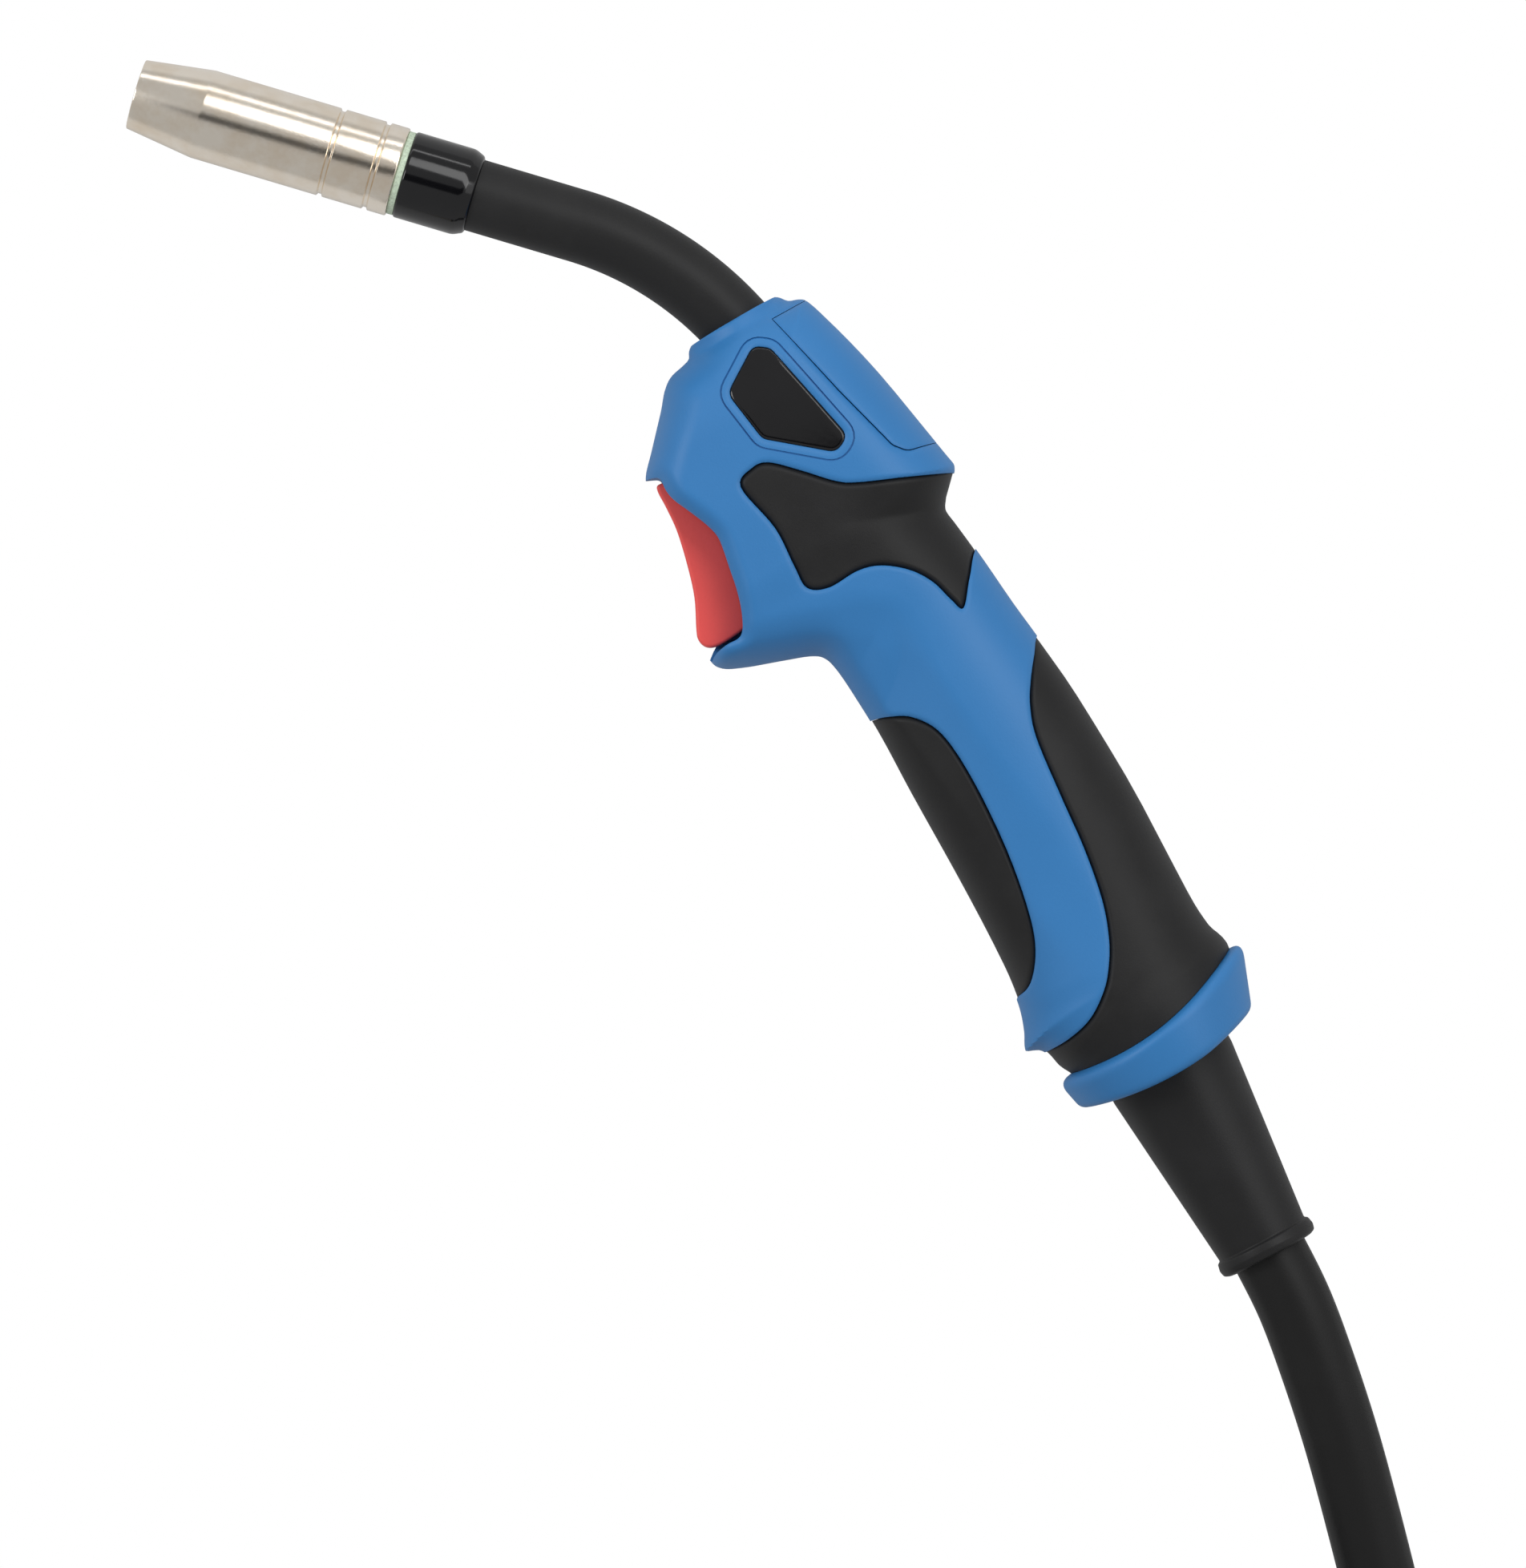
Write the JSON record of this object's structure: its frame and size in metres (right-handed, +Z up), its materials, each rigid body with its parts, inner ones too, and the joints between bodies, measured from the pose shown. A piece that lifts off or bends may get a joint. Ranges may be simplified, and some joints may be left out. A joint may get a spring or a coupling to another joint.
{
  "type": "mig welding torch",
  "caption": "Gas-shielded welding torch with a swan neck, two-colour pistol grip, trigger and power cable coiled for storage, ending in a machine connector.",
  "frame": {"origin": "on the floor, under the middle of the torch's own box (cable and plug left out)", "axes": "-X the way the nozzle points, +X and -Y down the handle to the cable, +Z up, out of the torch's left side"},
  "size_m": [0.3813, 0.4557, 0.0436],
  "materials": {
    "nickel": "satin",
    "copper": "polished",
    "brass": "satin",
    "spring_steel": "satin",
    "steel": "satin",
    "green_plastic": "matte",
    "gloss_black": "gloss",
    "sleeve_black": "matte",
    "liner": "matte",
    "blue_plastic": "satin",
    "grip_rubber": "matte",
    "red_plastic": "satin",
    "switch_black": "matte",
    "plunger": "matte",
    "wire": "satin",
    "boot_rubber": "matte",
    "cable_rubber": "matte",
    "strap": "matte",
    "plug_black": "matte"
  },
  "bodies": {
    "torch": {"contact_tip": "copper", "tip_holder": "brass", "nozzle_spring": "spring_steel", "insulating_ring": "green_plastic", "neck_ferrule": "gloss_black", "neck_tube": "brass", "neck_sleeve": "sleeve_black", "neck_liner": "liner", "handle_shell_left": "blue_plastic", "handle_shell_right": "blue_plastic", "top_cover": "blue_plastic", "badge_plate": "gloss_black", "rear_collar": "blue_plastic", "handle_screws": "steel", "thumb_pad_left": "grip_rubber", "thumb_pad_right": "grip_rubber", "finger_grip_left": "grip_rubber", "finger_grip_right": "grip_rubber", "palm_grip_left": "grip_rubber", "palm_grip_right": "grip_rubber", "trigger_pin": "steel", "trigger_spring": "spring_steel", "switch_body": "switch_black", "switch_wires": "wire", "neck_nut": "brass", "cable_crimp": "copper", "cable_boot": "boot_rubber", "power_cable": "cable_rubber", "cable_coil": "cable_rubber", "cable_tail": "cable_rubber", "coil_ties": "strap", "connector_boot": "boot_rubber", "connector_housing": "plug_black", "connector_core": "brass", "control_pins": "brass", "liner_nut": "brass"},
    "nozzle": {"gas_nozzle": "nickel"},
    "trigger": {"trigger": "red_plastic"},
    "plunger": {"switch_plunger": "plunger"},
    "plug_nut": {"connector_nut": "plug_black"}
  },
  "joints": [
    {"name": "trigger_press", "type": "hinge", "parent": "torch", "child": "trigger", "pos_m": [-0.01783, 0.03343, 0.0218], "axis": [0, 0, 1], "range_deg": [0, 5], "stiffness_Nm_per_rad": 0.6, "springref_deg": -6.88, "deforming": ["trigger_spring"]},
    {"name": "plunger_press", "type": "slide", "parent": "torch", "child": "plunger", "axis": [0.682, 0.7314, 0], "range_m": [0, 0.0012]},
    {"name": "nozzle_pull", "type": "slide", "parent": "torch", "child": "nozzle", "axis": [-1, 0, 0], "range_m": [0, 0.06]},
    {"name": "plug_nut_spin", "type": "hinge", "parent": "torch", "child": "plug_nut", "pos_m": [-0.06082, -0.27506, 0.021], "axis": [-0.8801, 0.4747, 0], "continuous": true}
  ],
  "couplings": [
    {"joint": "plunger_press", "follows": "trigger_press", "m_per_rad": 0.013}
  ]
}
